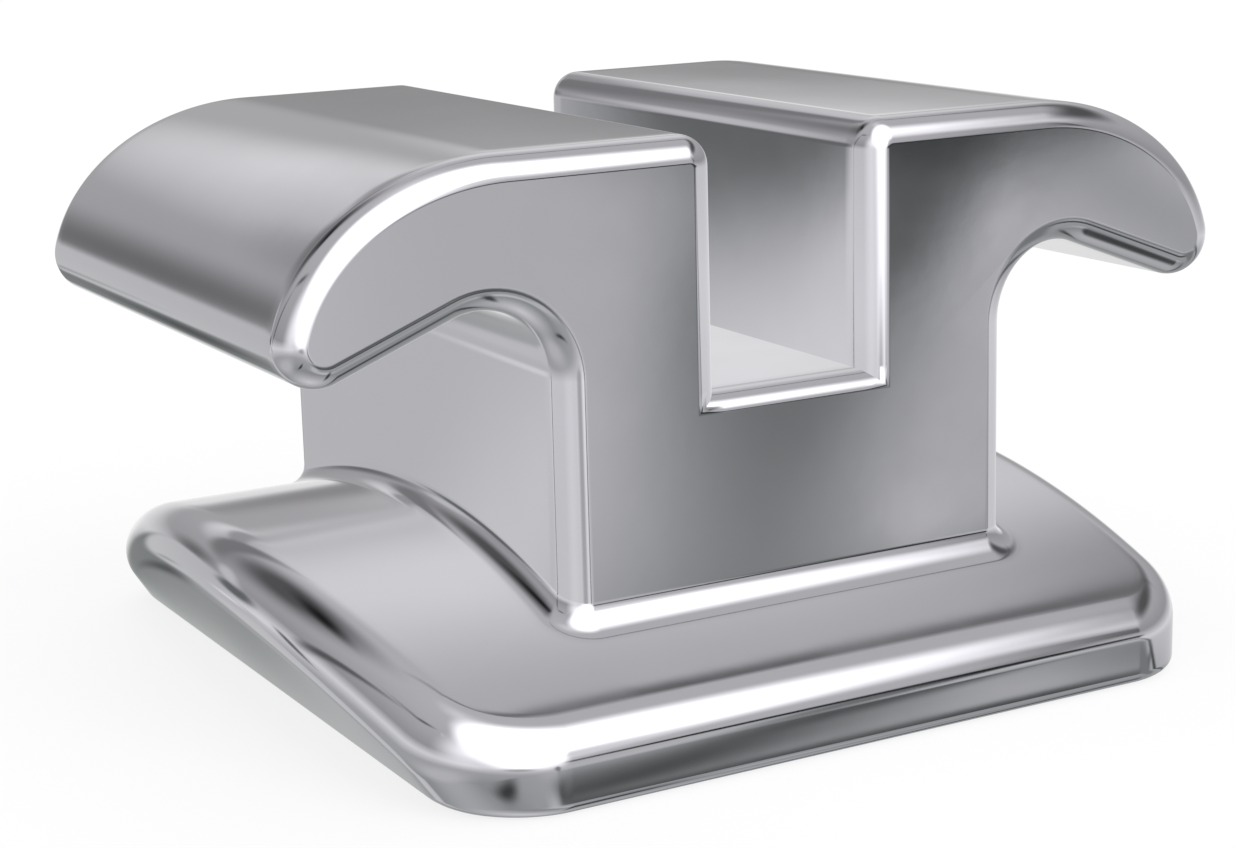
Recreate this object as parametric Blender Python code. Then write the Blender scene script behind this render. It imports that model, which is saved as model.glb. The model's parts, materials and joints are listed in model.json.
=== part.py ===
"""Orthodontic bracket, moulded in one piece.

X runs across the archwire slot, from one pair of tie wings to the other.
Y runs along the slot and Z points away from the tooth.
The underside of the base rests on Z = 0 and the body is centred on X = Y = 0.
Sizes are in millimetres and become metres when the mesh is made.
"""
import math

import bmesh
import bpy

MM = 0.001

# Archwire slot
SLOT_WIDTH = 0.56
SLOT_DEPTH = 0.82

# Body and tie wings, seen along the slot
BODY_WIDTH = 1.69
BODY_LENGTH = 2.22
TOP_HEIGHT = 1.925
WING_SPAN = 3.53
WING_FLAT = 1.0
WING_DROP = 0.597
WING_TURN_DEG = 12.0
TIP_RADIUS = 0.14
UNDERCUT_RADIUS = 0.245
UNDERCUT_DEG = 21.0

# Rounded edges
EDGE_ROUND = 0.087
SLOT_FLOOR_ROUND = 0.065
SLOT_CORNER_EXTRA = 0.013
FOOT_FILLET = 0.075

# Base
BASE_WIDTH = 2.79
BASE_LENGTH = 3.08
BASE_CORNER = 0.32
BASE_CROWN = 0.603
CROWN_RADIUS = 3.5
BASE_EDGE_ROUND = 0.154
BASE_RIM_ROUND = 0.042
SIDE_LEAN_DEG = 32.0

# Retention grooves in the underside
POST_WIDTH = 0.19
GROOVE_WIDTH = 0.11
GROOVE_DEPTH = 0.06
RIM_WIDTH = 0.19

# Fineness of the curves
LIP_STEPS = 6
ARC_STEP_DEG = 12.0
WING_STEPS = 14
FOOT_STEPS = 4
TOP_STEPS = 3
BASE_EDGE_STEPS = 7
RIM_STEPS = 3
SIDE_STATIONS = 15
CONTACT_PASSES = 8

HALF_BODY = BODY_WIDTH / 2.0
HALF_LENGTH = BODY_LENGTH / 2.0
HALF_BASE = BASE_WIDTH / 2.0
HALF_BASE_LENGTH = BASE_LENGTH / 2.0
SLOT_FLOOR = TOP_HEIGHT - SLOT_DEPTH
LEAN = math.tan(math.radians(SIDE_LEAN_DEG))


def clear_scene():
    for item in list(bpy.data.objects):
        bpy.data.objects.remove(item, do_unlink=True)


def make_collection(name):
    group = bpy.data.collections.new(name)
    bpy.context.scene.collection.children.link(group)
    return group


def steel(name, grey, roughness):
    material = bpy.data.materials.new(name)
    material.use_nodes = True
    shader = material.node_tree.nodes["Principled BSDF"]
    shader.inputs["Base Color"].default_value = (grey, grey, grey * 1.01, 1.0)
    shader.inputs["Metallic"].default_value = 1.0
    shader.inputs["Roughness"].default_value = roughness
    return material


def arc(centre, radius, start_deg, end_deg):
    """Points and outward normals on an arc, ends included."""
    sweep = end_deg - start_deg
    steps = max(2, int(math.ceil(abs(sweep) / ARC_STEP_DEG)))
    result = []
    for index in range(steps + 1):
        angle = math.radians(start_deg + sweep * index / steps)
        direction = (math.cos(angle), math.sin(angle))
        point = (centre[0] + radius * direction[0], centre[1] + radius * direction[1])
        result.append((point, direction))
    return result


def half_profile():
    """Right half of the outline in X and Z, from the slot floor out to the body side.

    Each entry holds a point and the step inwards that the rounded edge takes from it.
    """
    slope = math.radians(UNDERCUT_DEG)
    outline = []
    outline.append(((SLOT_WIDTH / 2.0, SLOT_FLOOR), (EDGE_ROUND, -SLOT_FLOOR_ROUND)))

    def add(point, normal):
        outline.append((point, (-normal[0] * EDGE_ROUND, -normal[1] * EDGE_ROUND)))

    # Rounded upper corner of the slot
    corner = EDGE_ROUND + SLOT_CORNER_EXTRA
    centre = (SLOT_WIDTH / 2.0 + corner, TOP_HEIGHT - corner)
    for point, normal in arc(centre, corner, 180.0, 90.0):
        add(point, normal)

    # Flat top, then a quarter of an ellipse down to the wing tip
    reach = WING_SPAN / 2.0 - WING_FLAT
    middle = TOP_HEIGHT - WING_DROP
    for index in range(WING_STEPS + 1):
        angle = math.radians(90.0 + (WING_TURN_DEG - 90.0) * index / WING_STEPS)
        point = (WING_FLAT + reach * math.cos(angle), middle + WING_DROP * math.sin(angle))
        normal = (math.cos(angle) / reach, math.sin(angle) / WING_DROP)
        length = math.hypot(normal[0], normal[1])
        normal = (normal[0] / length, normal[1] / length)
        add(point, normal)

    # Round tip, tangent to the ellipse and to the sloping underside
    tip = (point[0] - TIP_RADIUS * normal[0], point[1] - TIP_RADIUS * normal[1])
    start = math.degrees(math.atan2(normal[1], normal[0]))
    for point, normal in arc(tip, TIP_RADIUS, start, -90.0 - UNDERCUT_DEG)[1:]:
        add(point, normal)

    # Hollow fillet between the underside and the side of the body
    hollow_x = HALF_BODY + UNDERCUT_RADIUS
    line_z = tip[1] - TIP_RADIUS / math.cos(slope) + (tip[0] - hollow_x) * math.tan(slope)
    hollow = (hollow_x, line_z - UNDERCUT_RADIUS / math.cos(slope))
    for point, normal in arc(hollow, UNDERCUT_RADIUS, 90.0 - UNDERCUT_DEG, 180.0):
        add(point, (-normal[0], -normal[1]))
    return outline


def full_profile():
    """Whole outline, from the left side of the body round to the right side."""
    right = half_profile()
    left = [((-p[0], p[1]), (-s[0], s[1])) for p, s in reversed(right)]
    return left + right


def crown(y):
    """Height of the arched top of the base."""
    return BASE_CROWN - CROWN_RADIUS + math.sqrt(CROWN_RADIUS ** 2 - y ** 2)


def crown_slope(y):
    return -y / math.sqrt(CROWN_RADIUS ** 2 - y ** 2)


def plan_loop(half_x, half_y, radius):
    """Rounded rectangle as (x, y, outward x, outward y), anticlockwise.

    It starts at the front end of the right front corner. Every loop has the same
    number of points in the same order, so that neighbours can be bridged.
    """
    points = []
    for quarter in range(4):
        sign_x = (1, 1, -1, -1)[quarter]
        sign_y = (-1, 1, 1, -1)[quarter]
        centre_x = sign_x * (half_x - radius)
        centre_y = sign_y * (half_y - radius)
        for index in range(LIP_STEPS + 1):
            angle = math.radians(-90.0 + 90.0 * quarter + 90.0 * index / LIP_STEPS)
            out_x = math.cos(angle)
            out_y = math.sin(angle)
            points.append((centre_x + radius * out_x, centre_y + radius * out_y, out_x, out_y))
        if quarter in (0, 2):
            run = half_y - radius
            for index in range(1, SIDE_STATIONS + 1):
                along = -run + 2.0 * run * index / (SIDE_STATIONS + 1)
                points.append((sign_x * half_x, along * sign_x, float(sign_x), 0.0))
    return points


def wall_lean(x):
    """Run outwards per height of the left wall, which fades in round its two corners."""
    share = (-x - HALF_BASE + BASE_CORNER) / BASE_CORNER
    share = min(max(share, 0.0), 1.0)
    return LEAN * share * share * (3.0 - 2.0 * share)


def base_edge_loops():
    """Loops of the rounded upper edge, from the crown to the wall.

    The edge is the path of a circle that touches both the crown and the wall.
    """
    loops = [[] for _ in range(BASE_EDGE_STEPS + 1)]
    for x, y, out_x, out_y in plan_loop(HALF_BASE, HALF_BASE_LENGTH, BASE_CORNER):
        lean = wall_lean(x)
        tuck = math.atan(lean * max(-out_x, 0.0))
        reach = BASE_EDGE_ROUND / math.cos(tuck)
        tilt = 0.0
        for _ in range(CONTACT_PASSES):
            touch_y = y - out_y * (reach - BASE_EDGE_ROUND * math.sin(tilt))
            tilt = math.atan(-crown_slope(touch_y) * out_y)
        centre_z = crown(touch_y) - BASE_EDGE_ROUND * math.cos(tilt)
        centre_x = x - out_x * reach - lean * centre_z
        centre_y = y - out_y * reach
        for step, loop in enumerate(loops):
            turn = tilt + (math.pi / 2.0 + tuck - tilt) * step / BASE_EDGE_STEPS
            run = BASE_EDGE_ROUND * math.sin(turn)
            height = centre_z + BASE_EDGE_ROUND * math.cos(turn)
            loop.append((centre_x + out_x * run, centre_y + out_y * run, height))
    return loops


def base_rim_loops():
    """Loops of the small rounding at the foot of the wall, down to Z = 0."""
    wall = plan_loop(HALF_BASE, HALF_BASE_LENGTH, BASE_CORNER)
    loops = []
    for step in range(RIM_STEPS + 1):
        turn = math.pi / 2.0 * step / RIM_STEPS
        inset = BASE_RIM_ROUND * (1.0 - math.cos(turn))
        height = BASE_RIM_ROUND * (1.0 - math.sin(turn))
        loops.append([(x - out_x * inset - wall_lean(x) * height, y - out_y * inset, height)
                      for x, y, out_x, out_y in wall])
    return loops


def foot_loops():
    """Loops of the fillet where the body meets the crown of the base."""
    loops = []
    for step in range(FOOT_STEPS + 1):
        turn = math.pi / 2.0 * step / FOOT_STEPS
        spread = FOOT_FILLET * (1.0 - math.cos(turn))
        rise = FOOT_FILLET * (1.0 - math.sin(turn))
        plan = plan_loop(HALF_BODY + spread, HALF_LENGTH + spread, EDGE_ROUND + spread)
        loops.append([(x, y, crown(y) + rise) for x, y, _, _ in plan])
    return loops


def crown_loops(inner, outer):
    """Loops across the open top of the base, all lying on the crown."""
    loops = []
    for step in range(1, TOP_STEPS):
        share = step / TOP_STEPS
        loop = []
        for first, last in zip(inner, outer):
            x = first[0] + (last[0] - first[0]) * share
            y = first[1] + (last[1] - first[1]) * share
            loop.append((x, y, crown(y)))
        loops.append(loop)
    return loops


def bridge(mesh, first, last):
    """Quads between two closed loops of the same length."""
    count = len(first)
    for index in range(count):
        after = (index + 1) % count
        mesh.faces.new((first[index], first[after], last[after], last[index]))


def build_bracket():
    mesh = bmesh.new()

    def vert(x, y, z):
        return mesh.verts.new((x * MM, y * MM, z * MM))

    # Rounded front and back edges of the wing profile
    profile = full_profile()
    rings = []
    for side in (-1.0, 1.0):
        family = []
        for step in range(LIP_STEPS + 1):
            turn = math.pi / 2.0 * step / LIP_STEPS
            share = 1.0 - math.cos(turn)
            depth = side * (HALF_LENGTH - EDGE_ROUND * (1.0 - math.sin(turn)))
            family.append([vert(p[0] + s[0] * share, depth, p[1] + s[1] * share) for p, s in profile])
        rings.append(family)
    front, back = rings
    last = len(profile) - 1
    for step in range(LIP_STEPS):
        for index in range(last):
            mesh.faces.new((front[step][index], front[step][index + 1],
                            front[step + 1][index + 1], front[step + 1][index]))
            mesh.faces.new((back[step][index + 1], back[step][index],
                            back[step + 1][index], back[step + 1][index + 1]))
    for index in range(last):
        mesh.faces.new((front[0][index + 1], front[0][index], back[0][index], back[0][index + 1]))

    # Base, as loops that widen from the foot of the body to the rim
    foot = foot_loops()
    edge = base_edge_loops()
    stack = foot + crown_loops(foot[-1], edge[0]) + edge + base_rim_loops()
    loops = [[vert(x, y, z) for x, y, z in loop] for loop in stack]
    for upper, lower in zip(loops, loops[1:]):
        bridge(mesh, upper, lower)

    # Underside, laid in strips from one long side to the other
    rim = loops[-1]
    half = len(rim) // 2
    right = rim[:half]
    left = [rim[-1 - index] for index in range(half)]
    for index in range(half - 1):
        mesh.faces.new((right[index], left[index], left[index + 1], right[index + 1]))

    # Upright corners, sides and flat ends of the body
    ring = loops[0]
    corner = LIP_STEPS + 1
    side_count = SIDE_STATIONS
    front_right = ring[0:corner]
    right_side = ring[corner:corner + side_count]
    back_right = ring[corner + side_count:2 * corner + side_count]
    back_left = ring[2 * corner + side_count:3 * corner + side_count]
    left_side = ring[3 * corner + side_count:3 * corner + 2 * side_count]
    front_left = ring[3 * corner + 2 * side_count:]
    for step in range(LIP_STEPS):
        inner = LIP_STEPS - step
        mesh.faces.new((front[inner][last], front[inner - 1][last],
                        front_right[step + 1], front_right[step]))
        mesh.faces.new((back[step][last], back[step + 1][last],
                        back_right[step + 1], back_right[step]))
        mesh.faces.new((back[inner][0], back[inner - 1][0],
                        back_left[step + 1], back_left[step]))
        mesh.faces.new((front[step][0], front[step + 1][0],
                        front_left[step + 1], front_left[step]))
    mesh.faces.new([front[0][last], back[0][last], back_right[0]]
                   + list(reversed(right_side)) + [front_right[-1]])
    mesh.faces.new([back[0][0], front[0][0], front_left[0]]
                   + list(reversed(left_side)) + [back_left[-1]])
    mesh.faces.new(list(front[LIP_STEPS]) + [front_right[0], front_left[-1]])
    mesh.faces.new(list(reversed(back[LIP_STEPS])) + [back_left[0], back_right[-1]])

    bmesh.ops.recalc_face_normals(mesh, faces=mesh.faces)
    data = bpy.data.meshes.new("bracket_body")
    mesh.to_mesh(data)
    mesh.free()
    return data


def groove_stops(half_span):
    """Edges of grooves and posts in turn, with a post in the middle."""
    pitch = POST_WIDTH + GROOVE_WIDTH
    posts = int((2.0 * half_span - GROOVE_WIDTH) / pitch)
    posts -= 1 - posts % 2
    start = -(posts * pitch + GROOVE_WIDTH) / 2.0
    stops = [start]
    for _ in range(posts):
        stops.append(stops[-1] + GROOVE_WIDTH)
        stops.append(stops[-1] + POST_WIDTH)
    stops.append(stops[-1] + GROOVE_WIDTH)
    return stops


def build_grooves():
    """Lattice of crossing grooves, as one solid that reaches below the base."""
    across = groove_stops(HALF_BASE - RIM_WIDTH)
    along = groove_stops(HALF_BASE_LENGTH - RIM_WIDTH)
    mesh = bmesh.new()
    grid = [[mesh.verts.new((x * MM, y * MM, GROOVE_DEPTH * MM)) for x in across] for y in along]
    for row in range(len(along) - 1):
        for column in range(len(across) - 1):
            if row % 2 == 1 and column % 2 == 1:
                continue
            mesh.faces.new((grid[row][column], grid[row][column + 1],
                            grid[row + 1][column + 1], grid[row + 1][column]))
    made = bmesh.ops.extrude_face_region(mesh, geom=list(mesh.faces))
    lower = [item for item in made["geom"] if isinstance(item, bmesh.types.BMVert)]
    bmesh.ops.translate(mesh, verts=lower, vec=(0.0, 0.0, -2.0 * GROOVE_DEPTH * MM))
    bmesh.ops.recalc_face_normals(mesh, faces=mesh.faces)
    data = bpy.data.meshes.new("retention_grooves")
    mesh.to_mesh(data)
    mesh.free()
    return data


clear_scene()
bracket_group = make_collection("Orthodontic bracket")
cutter_group = make_collection("Cutters")

bracket = bpy.data.objects.new("bracket_body", build_bracket())
bracket.data.materials.append(steel("Polished stainless steel", 0.72, 0.14))
bracket_group.objects.link(bracket)

grooves = bpy.data.objects.new("retention_grooves", build_grooves())
grooves.hide_render = True
grooves.display_type = "WIRE"
cutter_group.objects.link(grooves)

cut = bracket.modifiers.new("Retention grooves", "BOOLEAN")
cut.operation = "DIFFERENCE"
cut.solver = "EXACT"
cut.object = grooves
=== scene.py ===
# Stainless steel orthodontic bracket on a pale studio floor.
# X runs across the archwire slot, Y along it, Z away from the tooth.
import json
import math

import bmesh
import bpy
from mathutils import Matrix, Vector

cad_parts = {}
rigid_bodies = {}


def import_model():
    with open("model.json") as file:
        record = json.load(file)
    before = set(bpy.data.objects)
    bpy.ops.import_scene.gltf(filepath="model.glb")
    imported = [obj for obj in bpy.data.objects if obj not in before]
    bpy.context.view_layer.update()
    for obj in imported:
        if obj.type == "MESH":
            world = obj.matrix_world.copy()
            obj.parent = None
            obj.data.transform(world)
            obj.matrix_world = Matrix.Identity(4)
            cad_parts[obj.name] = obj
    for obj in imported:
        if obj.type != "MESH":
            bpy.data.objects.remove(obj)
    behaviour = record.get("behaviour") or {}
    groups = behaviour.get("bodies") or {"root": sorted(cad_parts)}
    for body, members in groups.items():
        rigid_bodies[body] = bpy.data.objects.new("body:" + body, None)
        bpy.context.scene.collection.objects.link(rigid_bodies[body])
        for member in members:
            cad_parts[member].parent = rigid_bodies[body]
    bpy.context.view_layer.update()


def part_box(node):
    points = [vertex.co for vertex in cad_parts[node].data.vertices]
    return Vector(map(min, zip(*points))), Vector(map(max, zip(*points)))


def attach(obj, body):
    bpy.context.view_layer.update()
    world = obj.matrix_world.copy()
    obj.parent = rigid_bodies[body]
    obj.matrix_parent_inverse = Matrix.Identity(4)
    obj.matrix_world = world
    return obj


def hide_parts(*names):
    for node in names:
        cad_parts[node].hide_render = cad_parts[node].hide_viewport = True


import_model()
mm = 0.001          # the frame is in metres, the sizes below are in millimetres
hair = 0.0001       # millimetres; points closer than this count as one place
print("frame loaded")


def addNode(tree, kind, settings=None, links=None):
    # One node with its settings, then its incoming links. A number stands for an input's place:
    # on a Mix node 0 is the share, 2 and 3 are the numbers to mix, 6 and 7 the colours.
    node = tree.nodes.new(kind)
    for name, value in (settings or {}).items():
        if isinstance(name, str) and hasattr(node, name):
            setattr(node, name, value)
        else:
            node.inputs[name].default_value = value
    for name, source in (links or {}).items():
        tree.links.new(source, node.inputs[name])
    return node


def linearColour(hexText):
    # sRGB hex to the linear values that shaders take
    channels = []
    for start in (1, 3, 5):
        value = int(hexText[start:start + 2], 16) / 255
        value = value / 12.92 if value <= 0.04045 else ((value + 0.055) / 1.055) ** 2.4
        channels.append(value)
    return (*channels, 1.0)


plainWhite = linearColour("#FFFFFF")


def smoothShare(value, low, high):
    # Rises smoothly from 0 at low to 1 at high, where low may be the larger number
    share = min(max((value - low) / (high - low), 0.0), 1.0)
    return share * share * (3 - 2 * share)


# Sizes in millimetres. The height and the base's length come from the frame.
bracket = {
    "slotWidth": 0.56,
    "slotDepth": 0.82,
    "bodyWidth": 1.69,
    "bodyLength": 2.22,
    "wingFlat": 1.0,            # from the middle to where the flat top starts to curve down
    "wingReach": 0.765,         # how far the quarter of an ellipse goes out from there
    "wingDrop": 0.597,          # and down
    "wingTurn": 12.0,           # degrees above level where the round tip takes over
    "tipRadius": 0.14,
    "hollowRadius": 0.245,      # under the wing, for the ligature
    "hollowSlope": 21.0,        # degrees, of the wing's underside
    "edgeRound": 0.087,         # rolled edge round both ends of the body
    "slotFloorRound": 0.065,
    "slotCornerExtra": 0.013,
    "slotCornerRow": 0.012,     # close rows that keep the slot's corners crisp
    "footFillet": 0.075,        # where the body meets the base
    "baseWidth": 2.79,
    "baseCorner": 0.32,         # seen from above
    "crownHeight": 0.603,
    "crownRadius": 3.5,
    "baseEdge": 0.154,          # ball that rolls along the base's upper edge
    "rimRound": 0.042,          # lower edge
    "sideLean": 32.0,           # degrees, left wall only
    "grooveWidth": 0.11,        # in the underside, for the adhesive
    "grooveDepth": 0.06,
    "postWidth": 0.19,
    "rimWidth": 0.19,
    "arcStep": 5.0,             # degrees per facet on the small arcs of the profile
    "wingSteps": 56,            # facets along a wing's ellipse
    "edgeSteps": 18,            # facets round a corner seen from above
    "stations": 44,             # along the body, between its rounded ends
    "footSteps": 14,
    "crownSteps": 18,
    "baseEdgeSteps": 26,
    "rimSteps": 6,
    "crispAngle": 32.0,         # degrees; an edge that turns more than this stays sharp
}
nodeLow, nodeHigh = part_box("bracket_body")
bracket["topHeight"] = nodeHigh[2] / mm
bracket["baseLength"] = (nodeHigh[1] - nodeLow[1]) / mm


def runTo(mesh, vert, x, z):
    # Draws the wire on in a straight line
    new = bmesh.ops.extrude_vert_indiv(mesh, verts=[vert])["verts"][0]
    new.co = (x, 0, z)
    return new


def sweepArc(mesh, vert, centreX, centreZ, degrees, step):
    # Spins the last point of the wire, clockwise as seen from the front
    steps = max(2, math.ceil(abs(degrees) / step))
    made = bmesh.ops.spin(mesh, geom=[vert], cent=(centreX, 0, centreZ), axis=(0, 1, 0),
                          angle=math.radians(degrees), steps=steps, use_duplicate=False)
    return [item for item in made["geom_last"] if isinstance(item, bmesh.types.BMVert)][0]


def drawProfile(mesh, size):
    # Right half of the wing profile as a wire, from the middle of the slot to the body side
    top = size["topHeight"]
    floor = top - size["slotDepth"]
    slotHalf = size["slotWidth"] / 2
    corner = size["edgeRound"] + size["slotCornerExtra"]
    crisp = size["slotCornerRow"]
    vert = mesh.verts.new((0, 0, floor))
    vert = runTo(mesh, vert, slotHalf - crisp, floor)
    vert = runTo(mesh, vert, slotHalf, floor)
    vert = runTo(mesh, vert, slotHalf, floor + crisp)
    vert = runTo(mesh, vert, slotHalf, top - corner)
    vert = sweepArc(mesh, vert, slotHalf + corner, top - corner, 90, size["arcStep"])
    vert = runTo(mesh, vert, size["wingFlat"], top)

    # A round arc, flattened into a quarter of an ellipse
    reach = size["wingReach"]
    squeeze = size["wingDrop"] / reach
    known = len(mesh.verts)
    turn = 90 - size["wingTurn"]
    vert = sweepArc(mesh, vert, size["wingFlat"], top - reach, turn, turn / size["wingSteps"])
    mesh.verts.ensure_lookup_table()
    bmesh.ops.scale(mesh, vec=(1, 1, squeeze), space=Matrix.Translation((0, 0, -top)),
                    verts=mesh.verts[known:])

    # Round tip, sloping underside and the hollow against the body
    angle = math.radians(size["wingTurn"])
    normal = Vector((math.cos(angle) * squeeze, 0, math.sin(angle))).normalized()
    tip = vert.co - normal * size["tipRadius"]
    lift = math.degrees(math.atan2(normal.z, normal.x))
    vert = sweepArc(mesh, vert, tip.x, tip.z, lift + 90 + size["hollowSlope"], size["arcStep"])
    slope = math.radians(size["hollowSlope"])
    radius = size["hollowRadius"]
    hollowX = size["bodyWidth"] / 2 + radius
    underside = tip.z - size["tipRadius"] / math.cos(slope) + (tip.x - hollowX) * math.tan(slope)
    hollowZ = underside - radius / math.cos(slope)
    vert = runTo(mesh, vert, hollowX + radius * math.sin(slope),
                 hollowZ + radius * math.cos(slope))
    vert = sweepArc(mesh, vert, hollowX, hollowZ, -90 - size["hollowSlope"], size["arcStep"])
    runTo(mesh, vert, size["bodyWidth"] / 2, size["crownHeight"] + size["footFillet"])
    bmesh.ops.mirror(mesh, geom=mesh.verts[:] + mesh.edges[:], matrix=Matrix.Identity(4),
                     merge_dist=hair, axis="X")


def walkWire(mesh):
    # The profile's points in order, from the left foot over both wings to the right foot
    ends = [vert for vert in mesh.verts if len(vert.link_edges) == 1]
    chain = [min(ends, key=lambda vert: vert.co.x)]
    while True:
        onward = [edge.other_vert(chain[-1]) for edge in chain[-1].link_edges]
        onward = [vert for vert in onward if len(chain) < 2 or vert is not chain[-2]]
        if not onward:
            return chain
        chain.append(onward[0])


def inwardSteps(chain, size):
    # How far each profile point moves in where the end of the body has rolled right round
    floor = size["topHeight"] - size["slotDepth"]
    steps = []
    for index, vert in enumerate(chain):
        normals = []
        for first, last in ((index - 1, index), (index, index + 1)):
            if first >= 0 and last < len(chain):
                run = (chain[last].co - chain[first].co).normalized()
                normals.append(Vector((run.z, 0, -run.x)))
        step = sum(normals, Vector()) * size["edgeRound"]
        if len(normals) == 2:
            step /= 1 + normals[0].dot(normals[1])
        if abs(vert.co.z - floor) < hair:
            step.z = -size["slotFloorRound"]
        steps.append(step)
    return steps


def growRow(mesh, row, closed, places):
    # Extrudes a row of points once and sets each new point down in its place
    edges = [mesh.edges.get(pair) for pair in zip(row, row[1:])]
    if closed:
        edges.append(mesh.edges.get((row[-1], row[0])))
    made = bmesh.ops.extrude_edge_only(mesh, edges=edges)["geom"]
    fresh = {item for item in made if isinstance(item, bmesh.types.BMVert)}
    grown = []
    for vert, place in zip(row, places):
        new = next(edge.other_vert(vert) for edge in vert.link_edges
                   if edge.other_vert(vert) in fresh)
        new.co = place
        grown.append(new)
    return grown


def planRow(size, halfX, halfY, radius):
    # Rounded rectangle seen from above, anticlockwise: place and outward direction
    corner = size["edgeSteps"]
    stations = size["stations"]
    side = []
    for index in range(corner + 1):
        side.append((math.radians(-90 + 90 * index / corner), radius - halfY))
    run = halfY - radius
    for index in range(1, stations + 1):
        side.append((0.0, -run + 2 * run * index / (stations + 1)))
    for index in range(corner + 1):
        side.append((math.radians(90 * index / corner), halfY - radius))
    right = []
    for angle, middle in side:
        out = Vector((math.cos(angle), math.sin(angle), 0))
        right.append((Vector((halfX - radius, middle, 0)) + out * radius, out))
    left = [(Vector((-place.x, place.y, 0)), Vector((-out.x, out.y, 0))) for place, out in right]
    return right + left[::-1]


def crown(size, y):
    # Height of the base's arched top at a place along the slot
    return size["crownHeight"] - size["crownRadius"] + math.sqrt(size["crownRadius"] ** 2 - y * y)


def baseRows(size):
    # Places on the base from the foot of the body, over the crown, down to the rim
    halfX = size["baseWidth"] / 2
    halfY = size["baseLength"] / 2
    corner = size["baseCorner"]
    radius = size["baseEdge"]
    lean = math.tan(math.radians(size["sideLean"]))
    rows = []
    for step in range(size["footSteps"] + 1):
        turn = math.pi / 2 * step / size["footSteps"]
        spread = size["footFillet"] * (1 - math.cos(turn))
        rise = size["footFillet"] * (1 - math.sin(turn))
        plan = planRow(size, size["bodyWidth"] / 2 + spread, size["bodyLength"] / 2 + spread,
                       size["edgeRound"] + spread)
        rows.append([Vector((place.x, place.y, crown(size, place.y) + rise))
                     for place, out in plan])

    # A ball is rolled along the upper edge so that it touches the crown and the wall
    middleZ = size["crownHeight"] - size["crownRadius"]
    inner = size["crownRadius"] - radius
    wall = planRow(size, halfX, halfY, corner)
    leans = [lean * smoothShare(-place.x, halfX - corner, halfX) for place, out in wall]
    centres = []
    for (place, out), tilted in zip(wall, leans):
        tuck = math.atan(tilted * max(-out.x, 0))
        centre = place - out * radius / math.cos(tuck)
        centre.z = middleZ + math.sqrt(inner ** 2 - centre.y ** 2)
        centre.x -= tilted * centre.z
        centres.append(centre)
    edgeRows = [[] for step in range(size["baseEdgeSteps"] + 1)]
    feet = []
    for index, (centre, tilted) in enumerate(zip(centres, leans)):
        run = centres[(index + 1) % len(centres)] - centres[index - 1]
        ruling = Vector((-tilted, 0, 1))
        onCrown = Vector((0, centre.y, centre.z - middleZ)).normalized()
        onWall = run.cross(ruling).normalized()
        for step, row in enumerate(edgeRows):
            row.append(centre + radius * onCrown.slerp(onWall, step / size["baseEdgeSteps"]))
        feet.append(edgeRows[-1][-1] - ruling * edgeRows[-1][-1].z)

    for step in range(1, size["crownSteps"]):
        share = step / size["crownSteps"]
        row = []
        for first, last in zip(rows[size["footSteps"]], edgeRows[0]):
            place = first.lerp(last, share)
            place.z = crown(size, place.y)
            row.append(place)
        rows.append(row)
    rows += edgeRows

    for step in range(size["rimSteps"] + 1):
        turn = math.pi / 2 * step / size["rimSteps"]
        inset = size["rimRound"] * (1 - math.cos(turn))
        height = size["rimRound"] * (1 - math.sin(turn))
        rows.append([foot - out * inset + Vector((-tilted * height, 0, height))
                     for foot, (place, out), tilted in zip(feet, wall, leans)])
    return rows


def modelBracket(size):
    mesh = bmesh.new()
    drawProfile(mesh, size)
    chain = walkWire(mesh)
    shape = [vert.co.copy() for vert in chain]
    inward = inwardSteps(chain, size)
    plan = planRow(size, size["bodyWidth"] / 2, size["bodyLength"] / 2, size["edgeRound"])
    ringCount = len(plan) // 2

    def ringPlaces(index):
        place, out = plan[index]
        share = 1 - out.x
        places = [point + step * share for point, step in zip(shape, inward)]
        for point in places:
            point.y = place.y
        places[0].z = places[-1].z = crown(size, place.y) + size["footFillet"]
        return places

    # Skin of the body and wings, ring by ring from front to back
    start = size["edgeSteps"]
    for vert, place in zip(chain, ringPlaces(start)):
        vert.co = place
    rings = {start: chain}
    for index in range(start - 1, -1, -1):
        rings[index] = growRow(mesh, rings[index + 1], False, ringPlaces(index))
    for index in range(start + 1, ringCount):
        rings[index] = growRow(mesh, rings[index - 1], False, ringPlaces(index))

    # Base, row by row outwards from the foot of the body
    foot = [rings[index][-1] for index in range(ringCount)]
    foot += [rings[index][0] for index in range(ringCount - 1, -1, -1)]
    for pair in ((foot[0], foot[-1]), (foot[ringCount - 1], foot[ringCount])):
        bmesh.ops.contextual_create(mesh, geom=list(pair))
    row = foot
    for places in baseRows(size)[1:]:
        row = growRow(mesh, row, True, places)

    # Flat ends of the body and the underside
    rim = [edge for edge in mesh.edges if len(edge.link_faces) == 1]
    bmesh.ops.holes_fill(mesh, edges=rim, sides=0)
    bmesh.ops.recalc_face_normals(mesh, faces=mesh.faces)
    bmesh.ops.scale(mesh, vec=(mm, mm, mm), verts=mesh.verts)
    return mesh


def grooveStops(size, halfSpan):
    # Where the grooves and the posts between them begin and end, from side to side
    pitch = size["postWidth"] + size["grooveWidth"]
    posts = int((2 * halfSpan - size["grooveWidth"]) / pitch)
    posts -= 1 - posts % 2      # an odd number, so that one stands in the middle
    stops = [-(posts * pitch + size["grooveWidth"]) / 2]
    for index in range(posts):
        stops.append(stops[-1] + size["grooveWidth"])
        stops.append(stops[-1] + size["postWidth"])
    stops.append(stops[-1] + size["grooveWidth"])
    return stops


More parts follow.
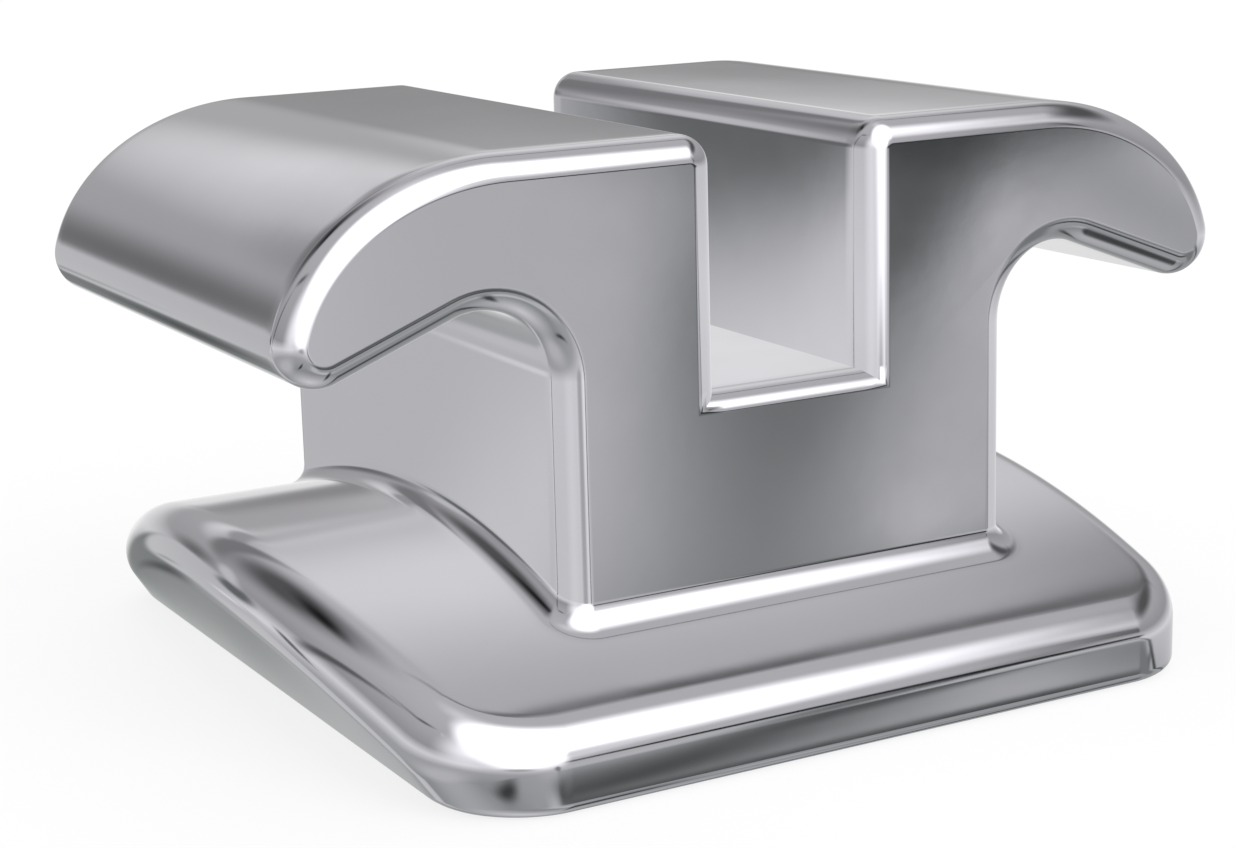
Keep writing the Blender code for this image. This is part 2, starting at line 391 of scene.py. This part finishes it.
def modelGrooves(size):
    # A grid whose lines are moved to the groove edges, without the cells that become posts
    across = grooveStops(size, size["baseWidth"] / 2 - size["rimWidth"])
    along = grooveStops(size, size["baseLength"] / 2 - size["rimWidth"])
    mesh = bmesh.new()
    half = 0.5
    bmesh.ops.create_grid(mesh, x_segments=len(across) - 1, y_segments=len(along) - 1, size=half)
    for vert in mesh.verts:
        column = round((vert.co.x + half) * (len(across) - 1))
        line = round((vert.co.y + half) * (len(along) - 1))
        vert.co = Vector((across[column], along[line], size["grooveDepth"])) * mm
    posts = []
    for face in mesh.faces:
        middle = face.calc_center_median() / mm
        column = sum(stop < middle.x for stop in across)
        line = sum(stop < middle.y for stop in along)
        if column % 2 == 0 and line % 2 == 0:
            posts.append(face)
    bmesh.ops.delete(mesh, geom=posts, context="FACES")

    # The cutter reaches as far below the underside as it cuts into it
    made = bmesh.ops.extrude_face_region(mesh, geom=mesh.faces[:])["geom"]
    lower = [item for item in made if isinstance(item, bmesh.types.BMVert)]
    bmesh.ops.translate(mesh, verts=lower, vec=(0, 0, -2 * size["grooveDepth"] * mm))
    bmesh.ops.recalc_face_normals(mesh, faces=mesh.faces)
    return mesh


def placeMesh(mesh, name):
    data = bpy.data.meshes.new(name)
    mesh.to_mesh(data)
    mesh.free()
    made = bpy.data.objects.new(name, data)
    bpy.context.scene.collection.objects.link(made)
    return made


def applyModifiers(piece):
    graph = bpy.context.evaluated_depsgraph_get()
    data = bpy.data.meshes.new_from_object(piece.evaluated_get(graph))
    piece.modifiers.clear()
    piece.data = data


bracketBody = placeMesh(modelBracket(bracket), "bracketBody")
grooveCutter = placeMesh(modelGrooves(bracket), "grooveCutter")
cut = bracketBody.modifiers.new("Retention grooves", "BOOLEAN")
cut.operation = "DIFFERENCE"
cut.object = grooveCutter
applyModifiers(bracketBody)
bpy.data.objects.remove(grooveCutter)
bracketBody.data.shade_smooth()
bracketBody.data.set_sharp_from_angle(angle=math.radians(bracket["crispAngle"]))
flatten = bracketBody.modifiers.new("Flat faces stay flat", "WEIGHTED_NORMAL")
flatten.mode = "FACE_AREA"
flatten.keep_sharp = True
print("bracket body:", len(bracketBody.data.polygons), "faces")


# Stainless steel, metal injection moulded, tumbled in ceramic media and polished.
# The eye sees a near mirror on every outer edge and a softer sheen where the media can't reach.
steelLook = {
    "colour": "#CCCBD1",
    "mottleColour": "#C9C8CD",
    "roughness": 0.055,
    "roughnessSpread": 0.03,
    "dullRoughness": 0.04,      # added on the slot's floor, and less up in the hollows
    "slotDullMm": 0.1,          # below the top, where the slot starts to get dull
    "hollowShare": 0.7,         # dullness of a hollow, of what the slot's floor has
    "hollowReachMm": 1.35,      # from the middle, where that fades out under a wing
    "hollowMiddleMm": 1.15,     # height where a hollow is dullest
    "hollowCoreMm": 0.2,        # above and below it, all as dull
    "hollowEndMm": 0.5,         # above and below it, no longer dull
    "wallMarginMm": 0.001,      # a point this near a wall still belongs to it
    "mottleMm": 0.45,           # patches left by the polish
    "mottleDetail": 3.0,
    "mottleGrain": 0.55,
    "mottleLow": 0.35,          # the noise seldom leaves the range from low to high
    "mottleHigh": 0.65,
    "waveMm": 0.60,             # slow unevenness of the moulded faces
    "waveDetail": 0.0,
    "waveHeightMm": 0.0009,
    "peelMm": 0.09,             # fine dimples of the moulded skin
    "peelDetail": 1.0,
    "peelHeightMm": 0.00005,
    # Polishing lines along the slot: some 0.003 mm apart on the real part, coarser here to show
    "lineMm": 0.014,
    "lineDetail": 2.0,
    "lineLengthMm": 0.60,
    "lineHeightMm": 0.000006,
}


def markDullness(piece, size, look):
    # 0 where tumbling reaches freely, 1 deep in the slot, nearly as much up in the hollows
    dull = piece.data.attributes.new("dullness", "FLOAT", "POINT")
    top = size["topHeight"]
    floor = top - size["slotDepth"]
    bodyHalf = size["bodyWidth"] / 2
    margin = look["wallMarginMm"]
    for vert, entry in zip(piece.data.vertices, dull.data):
        x, y, z = vert.co / mm
        inSlot = smoothShare(top - z, look["slotDullMm"], size["slotDepth"])
        inSlot *= abs(x) < size["slotWidth"] / 2 + margin and z > floor - margin
        inSlot *= abs(y) < size["bodyLength"] / 2 - size["edgeRound"] / 2
        offMiddle = abs(z - look["hollowMiddleMm"])
        inHollow = smoothShare(abs(x), look["hollowReachMm"], bodyHalf)
        inHollow *= 1 - smoothShare(offMiddle, look["hollowCoreMm"], look["hollowEndMm"])
        inHollow *= abs(x) > bodyHalf - margin
        entry.value = max(inSlot, look["hollowShare"] * inHollow)


def makeSteel(look):
    material = bpy.data.materials.new("tumblePolishedStainlessSteel")
    material.use_nodes = True
    tree = material.node_tree
    shader = tree.nodes["Principled BSDF"]
    shader.inputs["Metallic"].default_value = 1.0
    place = addNode(tree, "ShaderNodeTexCoord").outputs["Object"]

    # Patches that differ a little in colour and in roughness
    mottle = addNode(tree, "ShaderNodeTexNoise",
                     {"Scale": 1 / (look["mottleMm"] * mm), "Detail": look["mottleDetail"],
                      "Roughness": look["mottleGrain"]}, {"Vector": place})
    colour = addNode(tree, "ShaderNodeMix",
                     {"data_type": "RGBA", 6: linearColour(look["colour"]),
                      7: linearColour(look["mottleColour"])}, {0: mottle.outputs["Fac"]})
    tree.links.new(colour.outputs[2], shader.inputs["Base Color"])
    sheen = addNode(tree, "ShaderNodeMapRange",
                    {"From Min": look["mottleLow"], "From Max": look["mottleHigh"],
                     "To Min": look["roughness"],
                     "To Max": look["roughness"] + look["roughnessSpread"]},
                    {"Value": mottle.outputs["Fac"]})
    dull = addNode(tree, "ShaderNodeAttribute", {"attribute_name": "dullness"})
    rough = addNode(tree, "ShaderNodeMath",
                    {"operation": "MULTIPLY_ADD", 1: look["dullRoughness"]},
                    {0: dull.outputs["Fac"], 2: sheen.outputs["Result"]})
    tree.links.new(rough.outputs[0], shader.inputs["Roughness"])

    # Relief, each pattern on top of the one before
    stretch = addNode(tree, "ShaderNodeMapping",
                      {"Scale": (1.0, look["lineMm"] / look["lineLengthMm"], 1.0)},
                      {"Vector": place})
    normal = None
    for pattern, where in (("wave", place), ("peel", place), ("line", stretch.outputs[0])):
        noise = addNode(tree, "ShaderNodeTexNoise",
                        {"Scale": 1 / (look[pattern + "Mm"] * mm),
                         "Detail": look[pattern + "Detail"]}, {"Vector": where})
        bump = addNode(tree, "ShaderNodeBump", {"Distance": look[pattern + "HeightMm"] * mm},
                       {"Height": noise.outputs["Fac"]})
        if normal:
            tree.links.new(normal, bump.inputs["Normal"])
        normal = bump.outputs["Normal"]
    tree.links.new(normal, shader.inputs["Normal"])
    return material


markDullness(bracketBody, bracket, steelLook)
bracketBody.data.materials.clear()
bracketBody.data.materials.append(makeSteel(steelLook))
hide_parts("bracket_body")
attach(bracketBody, "root")
print("steel finished")


# A pale table in a light tent. The world holds what the metal mirrors: a soft base tone by
# elevation in degrees, and cards in front of it. Levels are brightness, where 1 is white.
# Card: azimuth clockwise from +Y and elevation in degrees, half width and half height on a
# dome of radius 1, turn in degrees, softness of its rim from 0 to 1, level. Later ones lie over
# earlier ones. Lengths here are in metres.
studio = {
    "tableColour": "#F2F2F3",
    "tableRoughness": 0.9,
    "tableSpecular": 0.1,
    "tableRadius": 0.6,
    "tableSides": 96,
    "tablePaleness": 0.8,       # share of plain white in what the camera sees of it
    "tent": ((-90, 0.93), (-50, 0.41), (-25, 0.55), (-10, 1.01), (5, 0.46), (25, 0.57),
             (50, 0.66), (75, 0.70), (90, 0.99)),
    "cards": {
        "frontSoftbox": (181.0, 35.1, 0.78, 0.93, 14, 0.42, 2.9),
        "backTableTone": (25.9, -3.8, 0.708, 0.223, -4, 0.90, 0.855),
        "lowLeftTone": (-88.1, -43.6, 0.86, 0.386, -9, 0.80, 0.712),
        "frontEdgeStrip": (156.1, 10.8, 0.101, 0.222, 18, 0.90, 1.01),
        "darkStand": (139.7, 8.9, 0.0433, 0.134, -6, 0.55, 0.0147),
        "slantingBar": (59.0, 54.8, 0.718, 0.0319, -54, 1.00, 0.136),
        "darkFlatEdge": (145.1, -0.5, 0.0914, 0.478, 13, 0.67, 0.0106),
        "tableShadow": (156.8, -24.2, 0.33, 0.136, -18, 0.76, 0.0992),
        "lowBar": (101.8, -24.8, 1.4, 0.0405, 18, 1.00, 0.0523),
        "tableFront": (-171.4, -13.7, 0.291, 0.0891, 0, 0.77, 0.589),
        "greyBand": (150.3, -0.4, 0.529, 0.194, -70, 0.70, 0.683),
        "rightFlag": (98.0, 40.2, 0.921, 0.212, -11, 0.83, 0.128),
        "paleSpotRight": (31.9, 11.0, 0.203, 0.17, -32, 0.97, 1.01),
        "paleSpotHigh": (32.7, 36.4, 0.397, 0.473, 82, 0.91, 0.991),
        "backStrip": (10.1, 21.6, 0.455, 0.108, -2, 0.99, 0.935),
        "lowPaleStrip": (-18.1, -27.5, 0.156, 0.683, 13, 0.46, 0.764),
        "darkStrip": (-4.9, -12.8, 0.139, 0.343, 46, 0.45, 0.225),
        "thinDarkStrip": (138.1, -26.8, 0.0638, 0.432, 74, 0.44, 0.107),
        "smallDarkStrip": (-20.0, 5.6, 0.212, 0.17, -4, 0.98, 0.215),
        "lowDarkStrip": (121.8, -26.9, 0.13, 0.582, -56, 0.63, 0.291),
        "leftTent": (-158.7, 26.0, 1.32, 0.655, -24, 0.95, 1.82),
        "leftSpot": (-111.2, 36.4, 0.1, 0.05, 73, 0.82, 0.773),
        "backLeftFlag": (-27.6, 41.9, 0.389, 0.528, -17, 0.74, 0.127),
        "backThinFlag": (6.3, 27.0, 0.385, 0.0602, -22, 0.59, 0.439),
        "rollShade": (-1.8, -16.9, 0.262, 0.231, -1, 0.77, 0.275),
        "tipPale": (-18.7, -9.8, 0.286, 0.228, -8, 0.23, 0.712),
        "underPale": (-10.2, -15.7, 0.0815, 0.0308, -1, 0.87, 0.503),
        "wallFlag": (-32.9, -2.6, 0.145, 0.0942, -65, 0.57, 0.196),
        "backHighFlag": (-7.6, 28.0, 0.454, 0.105, 35, 0.60, 0.277),
        "backLeftPale": (-30.9, 8.1, 0.177, 0.0735, 70, 0.73, 0.771),
        "darkestSpot": (-34.4, 47.5, 0.231, 0.166, 4, 0.93, 0.0191),
        "topGrey": (22.0, 4.0, 0.14, 0.12, 0, 0.90, 0.33),
        "topShade": (30.0, 3.0, 0.27, 0.13, 0, 0.80, 0.31),
        "underLight": (154.2, -44.3, 0.51, 0.13, 8, 0.92, 0.763),
        "deepDark": (79.3, -54.7, 0.522, 0.0671, 12, 0.77, 0.092),
        "darkGlow": (144.3, -7.9, 0.0345, 0.107, 34, 0.94, 0.0941),
        "underLineRight": (135.0, -55.4, 0.412, 0.0687, 62, 0.77, 0.0683),
        "underLineLeft": (-154.6, -41.2, 0.33, 0.0541, -42, 0.83, 0.0456),
        "darkGlowLow": (147.5, -10.3, 0.0638, 0.121, 12, 0.92, 0.23),
        "tentFoot": (147.0, -4.5, 0.3, 0.05, 0, 0.60, 0.02),
        "faceShade": (142.8, -6.3, 0.184, 0.0329, -7, 0.97, 0.0586),
        "wallShade": (-1.0, -22.0, 0.2, 0.05, -9, 0.90, 0.13),
        "wallTone": (5.2, -25.0, 0.15, 0.06, -5, 1.00, 0.351),
        "leftStreak": (-56.1, 12.6, 0.0508, 0.561, 31, 0.79, 0.137),
        "leftStreakHigh": (-84.3, 39.5, 0.314, 0.0604, -15, 0.87, 0.195),
        "wallPale": (-33.4, -12.4, 0.143, 0.0589, -6, 1.00, 1.03),
        "arcShade": (70.3, 46.2, 0.148, 0.104, -48, 1.00, 0.208),
        "frontWallLine": (144.5, -18.0, 0.135, 0.0416, -26, 0.85, 0.0807),
        "flankPale": (-25.7, -15.2, 0.0797, 0.0474, 1, 0.99, 1.03),
        "frontArcPale": (169.9, -34.7, 0.134, 0.212, 0, 0.77, 0.73),
        "edgeLine": (-39.5, -13.0, 0.0423, 0.115, 7, 0.66, 0.197),
        "edgeLineFront": (165.7, -15.1, 0.0435, 0.123, -5, 0.58, 0.302),
    },
    "lowShade": "#F9FFFD",      # dark parts of the tent are a little greener below
    "highShade": "#FFFDFE",     # and a little warmer above
    "shadeBlend": 0.05,         # radians below and above level, where one turns into the other
    "shadeFull": 0.2,           # up to this level a part of the tent has its full shade
    "shadeNone": 0.8,           # and from this level it has none
    "roomLevel": 0.75,          # what reaches matt surfaces from all round
    "lampDistance": 0.45,
    "lampSize": 0.42,
    "keyHeading": (165, 42),
    "keyPower": 0.85,
    "topHeading": (20, 78),
    "topPower": 0.50,
}


def heading(azimuth, elevation):
    # The way towards a place in the room, from the middle of the table
    turn = math.radians(azimuth)
    lift = math.radians(elevation)
    return Vector((math.sin(turn) * math.cos(lift), math.cos(turn) * math.cos(lift),
                   math.sin(lift)))


def addTable(look):
    mesh = bmesh.new()
    bmesh.ops.create_circle(mesh, cap_ends=True, segments=look["tableSides"],
                            radius=look["tableRadius"])
    table = placeMesh(mesh, "studioTable")
    material = bpy.data.materials.new("mattePaperSheet")
    material.use_nodes = True
    tree = material.node_tree
    shader = tree.nodes["Principled BSDF"]
    shader.inputs["Base Color"].default_value = linearColour(look["tableColour"])
    shader.inputs["Roughness"].default_value = look["tableRoughness"]
    shader.inputs["Specular IOR Level"].default_value = look["tableSpecular"]

    # The camera sees it paler than it is lit, so its shadow stays faint
    glow = addNode(tree, "ShaderNodeEmission", {"Color": plainWhite, "Strength": 1.0})
    path = addNode(tree, "ShaderNodeLightPath")
    share = addNode(tree, "ShaderNodeMath", {"operation": "MULTIPLY", 1: look["tablePaleness"]},
                    {0: path.outputs["Is Camera Ray"]})
    mix = addNode(tree, "ShaderNodeMixShader", {},
                  {0: share.outputs[0], 1: shader.outputs[0], 2: glow.outputs[0]})
    tree.links.new(mix.outputs[0], tree.nodes["Material Output"].inputs["Surface"])
    table.data.materials.append(material)
    table.visible_glossy = False


def addSoftbox(name, look, direction, power):
    lamp = bpy.data.lights.new(name, "AREA")
    lamp.shape = "DISK"
    lamp.size = look["lampSize"]
    lamp.energy = power
    box = bpy.data.objects.new(name, lamp)
    box.location = direction * look["lampDistance"]
    box.rotation_mode = "QUATERNION"
    box.rotation_quaternion = (-direction).to_track_quat("-Z", "Y")
    box.visible_camera = False
    box.visible_glossy = False      # the world holds what the metal mirrors
    bpy.context.scene.collection.objects.link(box)


def addCard(tree, way, below, card):
    # Lays one soft oval of a given level over the level below it
    azimuth, elevation, width, height, turn, softness, level = card
    middle = heading(azimuth, elevation)
    side = heading(azimuth + 90, 0)
    up = middle.cross(-side)
    turn = math.radians(turn)
    across = side * math.cos(turn) + up * math.sin(turn)
    along = up * math.cos(turn) - side * math.sin(turn)
    frameTurn = Matrix((middle, -across, along)).transposed().to_euler()
    local = addNode(tree, "ShaderNodeMapping",
                    {"vector_type": "TEXTURE", "Location": middle, "Rotation": frameTurn,
                     "Scale": (1.0, width, height)}, {"Vector": way})
    oval = addNode(tree, "ShaderNodeTexGradient", {"gradient_type": "SPHERICAL"},
                   {"Vector": local.outputs[0]})
    share = addNode(tree, "ShaderNodeMapRange",
                    {"interpolation_type": "SMOOTHSTEP", "From Max": softness},
                    {"Value": oval.outputs["Fac"]})
    laid = addNode(tree, "ShaderNodeMix", {3: level}, {0: share.outputs[0], 2: below})
    return laid.outputs[0]


def lightWorld(look):
    world = bpy.data.worlds.new("paleStudio")
    bpy.context.scene.world = world
    world.use_nodes = True
    tree = world.node_tree
    tree.nodes.clear()
    way = addNode(tree, "ShaderNodeTexCoord").outputs["Generated"]
    parts = addNode(tree, "ShaderNodeSeparateXYZ", {}, {0: way})
    lift = addNode(tree, "ShaderNodeMath", {"operation": "ARCSINE"}, {0: parts.outputs["Z"]})

    # Base tone of the tent
    share = addNode(tree, "ShaderNodeMapRange",
                    {"From Min": -math.pi / 2, "From Max": math.pi / 2},
                    {"Value": lift.outputs[0]})
    ramp = addNode(tree, "ShaderNodeValToRGB", {}, {"Fac": share.outputs[0]})
    elements = ramp.color_ramp.elements
    elements.remove(elements[1])
    for index, (elevation, tone) in enumerate(look["tent"]):
        position = (elevation + 90) / 180
        stop = elements[0] if index == 0 else elements.new(position)
        stop.position = position
        stop.color = (tone, tone, tone, 1)
    level = ramp.outputs["Color"]
    for card in look["cards"].values():
        level = addCard(tree, way, level, card)

    # Shade of the dark parts
    above = addNode(tree, "ShaderNodeMapRange",
                    {"From Min": -look["shadeBlend"], "From Max": look["shadeBlend"]},
                    {"Value": lift.outputs[0]})
    shade = addNode(tree, "ShaderNodeMix",
                    {"data_type": "RGBA", 6: linearColour(look["lowShade"]),
                     7: linearColour(look["highShade"])}, {0: above.outputs[0]})
    pale = addNode(tree, "ShaderNodeMapRange",
                   {"From Min": look["shadeFull"], "From Max": look["shadeNone"]},
                   {"Value": level})
    tint = addNode(tree, "ShaderNodeMix", {"data_type": "RGBA", 7: plainWhite},
                   {0: pale.outputs[0], 6: shade.outputs[2]})

    # Mirror rays see the tent, matt surfaces an even level, the camera plain white
    mirrored = addNode(tree, "ShaderNodeBackground", {},
                       {"Color": tint.outputs[2], "Strength": level})
    matt = addNode(tree, "ShaderNodeBackground",
                   {"Color": plainWhite, "Strength": look["roomLevel"]})
    white = addNode(tree, "ShaderNodeBackground", {"Color": plainWhite, "Strength": 1.0})
    path = addNode(tree, "ShaderNodeLightPath")
    seen = addNode(tree, "ShaderNodeMath", {"operation": "MAXIMUM"},
                   {0: path.outputs["Is Glossy Ray"], 1: path.outputs["Is Transmission Ray"]})
    mix = addNode(tree, "ShaderNodeMixShader", {},
                  {0: seen.outputs[0], 1: matt.outputs[0], 2: mirrored.outputs[0]})
    mix = addNode(tree, "ShaderNodeMixShader", {},
                  {0: path.outputs["Is Camera Ray"], 1: mix.outputs[0], 2: white.outputs[0]})
    addNode(tree, "ShaderNodeOutputWorld", {}, {0: mix.outputs[0]})


addTable(studio)
addSoftbox("keySoftbox", studio, heading(*studio["keyHeading"]), studio["keyPower"])
addSoftbox("topSoftbox", studio, heading(*studio["topHeading"]), studio["topPower"])
lightWorld(studio)
bracketBody.visible_glossy = False      # in the photo no part of it mirrors another part
print("studio lit")


# The photograph's viewing angle, in degrees and millimetres
viewpoint = {
    "azimuth": -28.83,
    "elevation": 13.10,
    "roll": -1.53,
    "distance": 7.979,
    "aim": (-0.6588, -1.110, 1.0564),       # the point it looks at
    "lens": 75.16,
    "sensor": 36.0,
    "nearClip": 0.2,
    "farClip": 10000.0,
}


def addCamera(view):
    azimuth = math.radians(view["azimuth"])
    elevation = math.radians(view["elevation"])
    back = Vector((math.sin(azimuth) * math.cos(elevation),
                   -math.cos(azimuth) * math.cos(elevation), math.sin(elevation)))
    side = Vector((math.cos(azimuth), math.sin(azimuth), 0))
    turn = Matrix((side, back.cross(side), back)).transposed()
    turn = turn @ Matrix.Rotation(math.radians(view["roll"]), 3, "Z")
    lens = bpy.data.cameras.new("studioCamera")
    lens.lens = view["lens"]
    lens.sensor_width = view["sensor"]
    lens.clip_start = view["nearClip"] * mm
    lens.clip_end = view["farClip"] * mm
    camera = bpy.data.objects.new("studioCamera", lens)
    place = (Vector(view["aim"]) + back * view["distance"]) * mm
    camera.matrix_world = Matrix.Translation(place) @ turn.to_4x4()
    bpy.context.scene.collection.objects.link(camera)
    bpy.context.scene.camera = camera


addCamera(viewpoint)
bpy.context.scene.view_settings.view_transform = "Standard"
print("camera placed")
